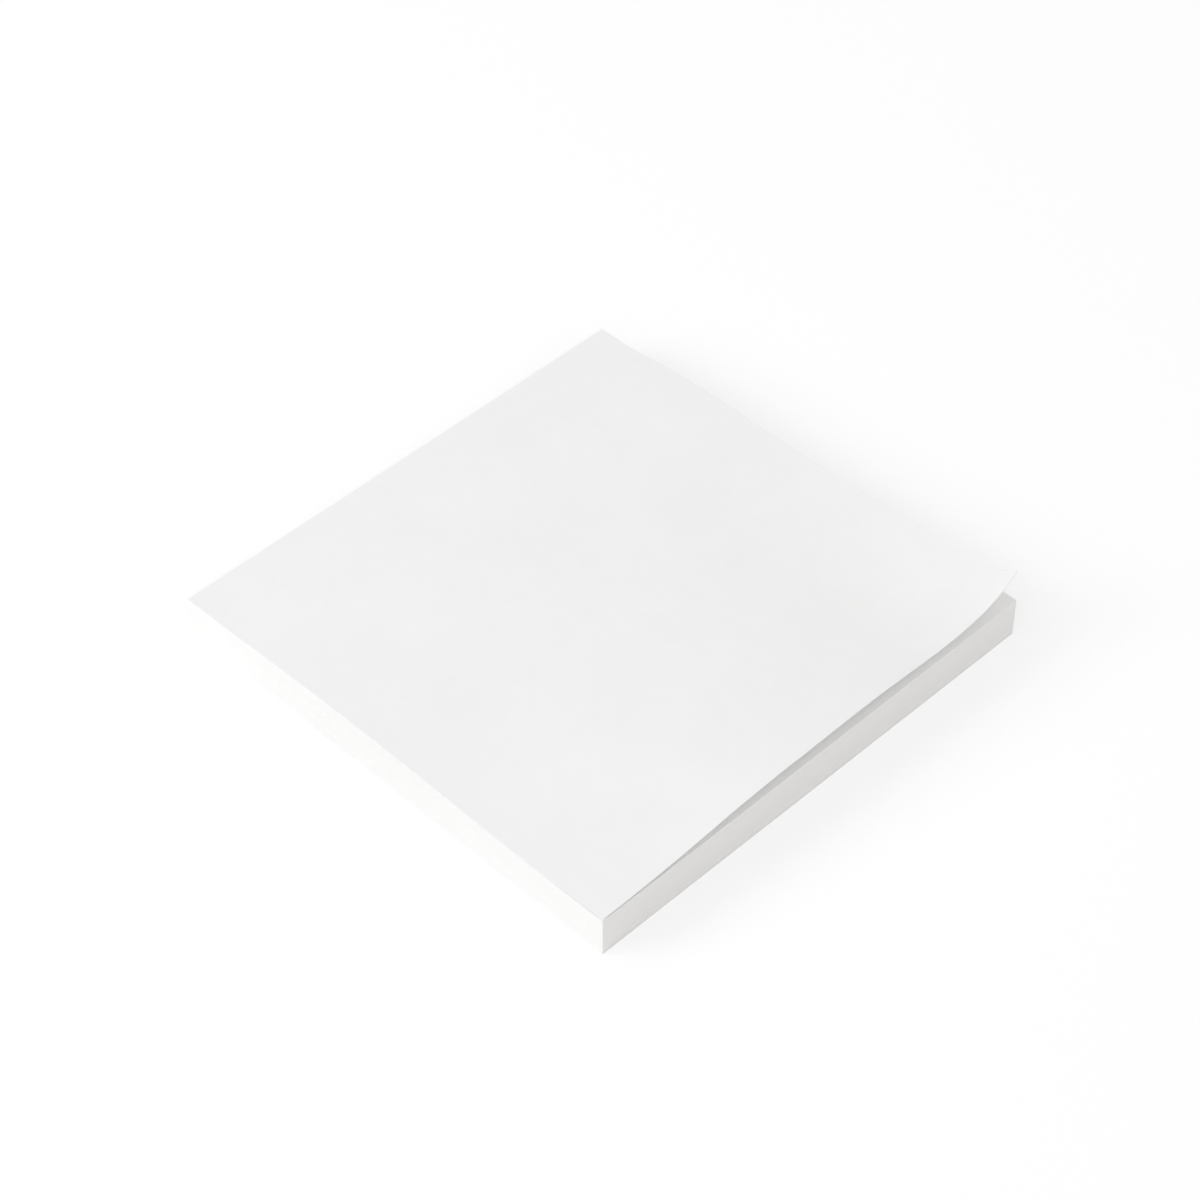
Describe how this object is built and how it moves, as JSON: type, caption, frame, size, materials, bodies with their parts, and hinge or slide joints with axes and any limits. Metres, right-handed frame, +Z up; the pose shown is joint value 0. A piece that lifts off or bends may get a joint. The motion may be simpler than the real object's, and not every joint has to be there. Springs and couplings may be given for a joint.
{
  "type": "sticky note pad",
  "caption": "Square pad of plain white sticky notes lying flat, with the top note lifted along its free edge and one corner curled up.",
  "frame": {"origin": "middle of the underside, on the surface that the pad lies on", "axes": "+Z up through the pad, +Y towards the glued edge, +X towards the side with the curled corner"},
  "size_m": [0.0762, 0.0762, 0.0116],
  "materials": {
    "note_paper": "matt, uncoated, plain white",
    "backing_paper": "matt, slightly off-white, with a faint release coating",
    "adhesive": "thin, clear, slightly tacky"
  },
  "bodies": {
    "root": {"top_sheet": "note_paper", "note_block": "note_paper", "backing_sheet": "backing_paper", "adhesive_band": "adhesive"}
  },
  "joints": []
}
